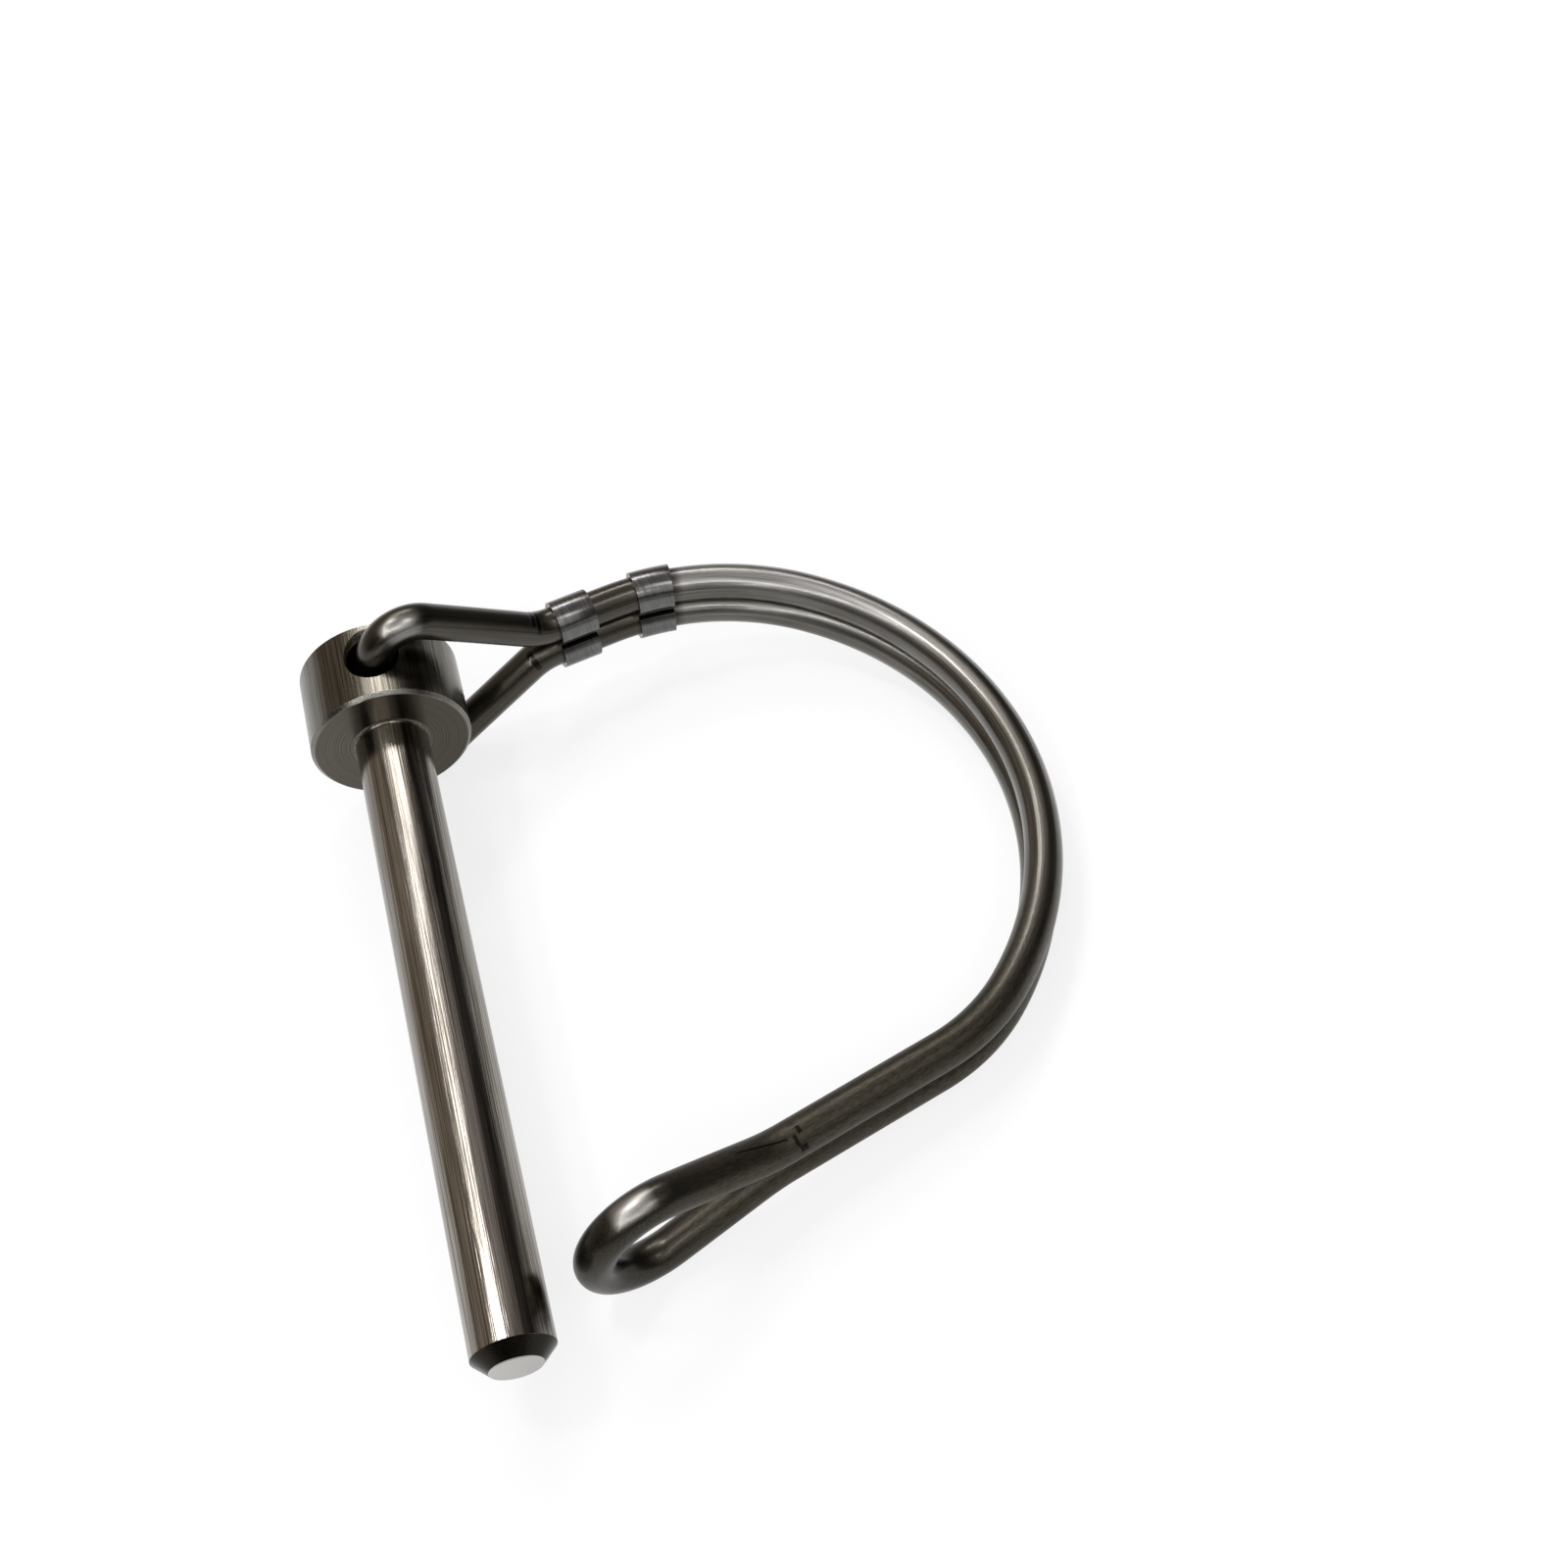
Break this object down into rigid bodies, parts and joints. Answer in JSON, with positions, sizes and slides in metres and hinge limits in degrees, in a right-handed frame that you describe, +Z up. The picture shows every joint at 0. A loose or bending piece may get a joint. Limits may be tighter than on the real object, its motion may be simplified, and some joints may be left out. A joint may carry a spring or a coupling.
{
  "type": "lynch pin",
  "caption": "Wire lock pin: a straight turned pin with a hinged arch of doubled spring wire that snaps over the pin's tip to lock it in a cross hole.",
  "frame": {"origin": "on the shank's axis, at the shoulder under the head", "axes": "as it lies at rest: +Z up from the floor, +Y nearly along the pin towards its head, +X towards the wire arch"},
  "size_m": [0.0761, 0.0873, 0.0261],
  "materials": {
    "pin_steel": "polished",
    "spring_wire": "polished, drawn",
    "band_sheet": "bright, brushed"
  },
  "bodies": {
    "pin": {"pin": "pin_steel"},
    "bail": {"wire_bail": "spring_wire", "inner_band": "band_sheet", "outer_band": "band_sheet"}
  },
  "joints": [
    {"name": "bail_hinge", "type": "hinge", "parent": "pin", "child": "bail", "pos_m": [0, 0.00599, 0.00033], "axis": [0.1132, -0.0543, 0.9921], "range_deg": [-2, 200]}
  ]
}
